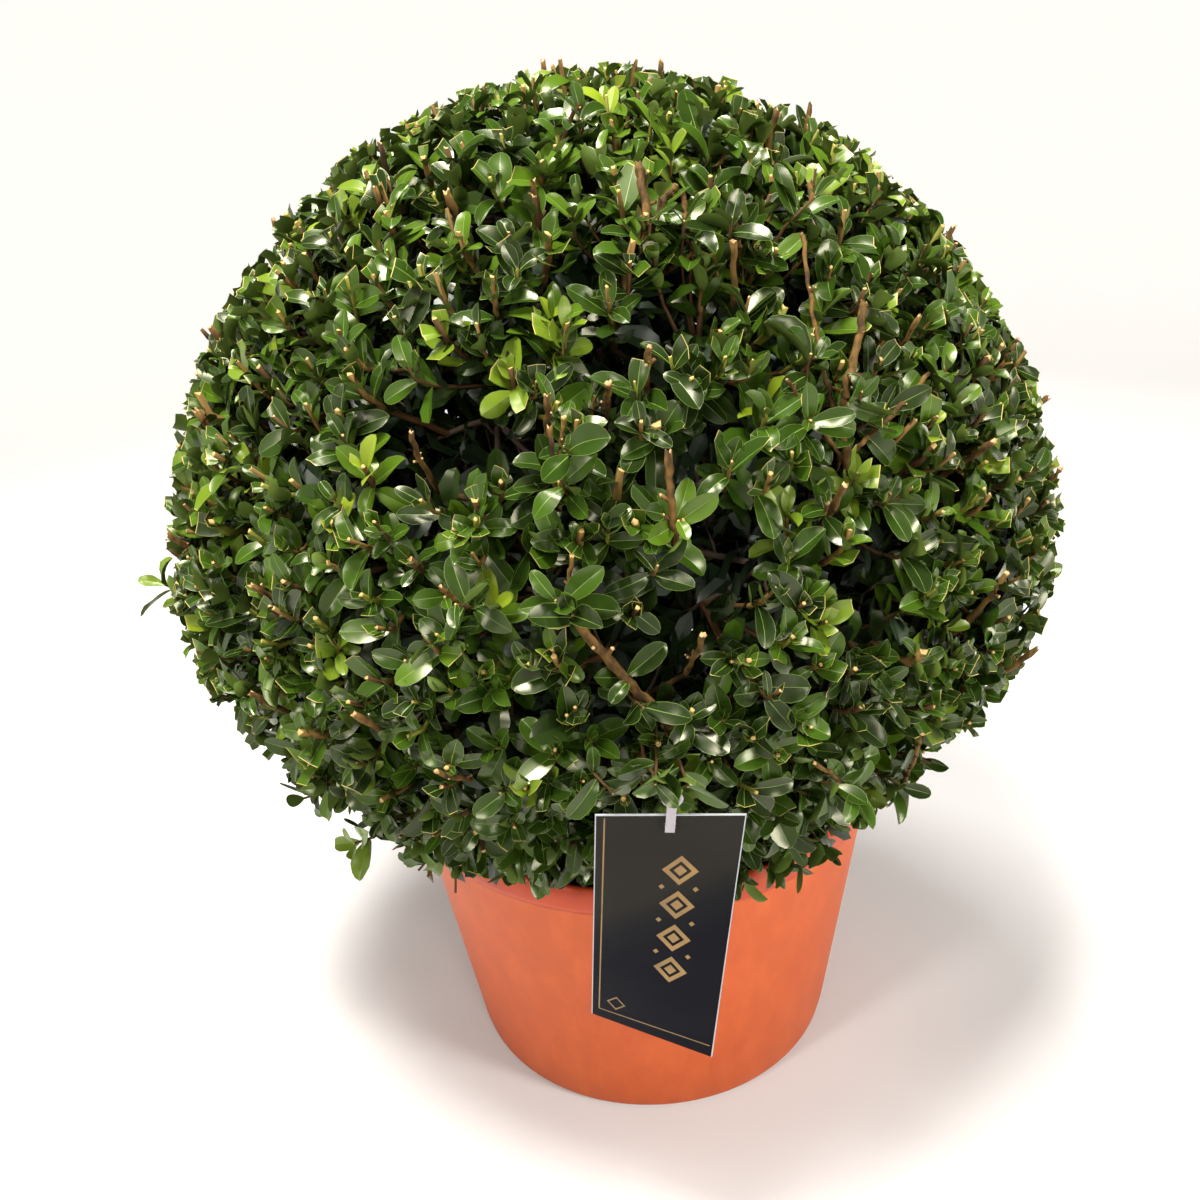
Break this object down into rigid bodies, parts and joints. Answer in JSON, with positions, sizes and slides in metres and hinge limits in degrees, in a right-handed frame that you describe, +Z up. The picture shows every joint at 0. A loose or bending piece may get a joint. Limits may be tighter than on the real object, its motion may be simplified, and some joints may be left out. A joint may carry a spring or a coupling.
{
  "type": "clipped japanese holly ball in a nursery pot",
  "caption": "Evergreen shrub clipped as a dense ball of small glossy leaves on a short hidden stem, in a tapered round nursery pot with a rolled rim, with a hanging tag.",
  "frame": {"origin": "middle of the pot's flat underside, on the surface it stands on", "axes": "+Z up, -Y towards the front of the plant, where the tag hangs, +X to the right seen from the front"},
  "size_m": [0.5916, 0.6172, 0.7188],
  "materials": {
    "pot_plastic": "satin",
    "soil": "matte",
    "bark": "matte",
    "foliage": "satin",
    "tag_card": "gloss",
    "tie_plastic": "satin"
  },
  "bodies": {
    "root": {"pot": "pot_plastic", "soil": "soil", "trunk": "bark", "bough_top": "bark", "bough_upper_1": "bark", "bough_upper_2": "bark", "bough_upper_3": "bark", "bough_upper_4": "bark", "bough_upper_5": "bark", "bough_lower_1": "bark", "bough_lower_2": "bark", "bough_lower_3": "bark", "bough_lower_4": "bark", "bough_lower_5": "bark", "bough_lower_6": "bark", "foliage_top": "foliage", "foliage_upper_1": "foliage", "foliage_upper_2": "foliage", "foliage_upper_3": "foliage", "foliage_upper_4": "foliage", "foliage_upper_5": "foliage", "foliage_lower_1": "foliage", "foliage_lower_2": "foliage", "foliage_lower_3": "foliage", "foliage_lower_4": "foliage", "foliage_lower_5": "foliage", "foliage_lower_6": "foliage", "tag": "tag_card", "tag_tie": "tie_plastic"}
  },
  "joints": []
}
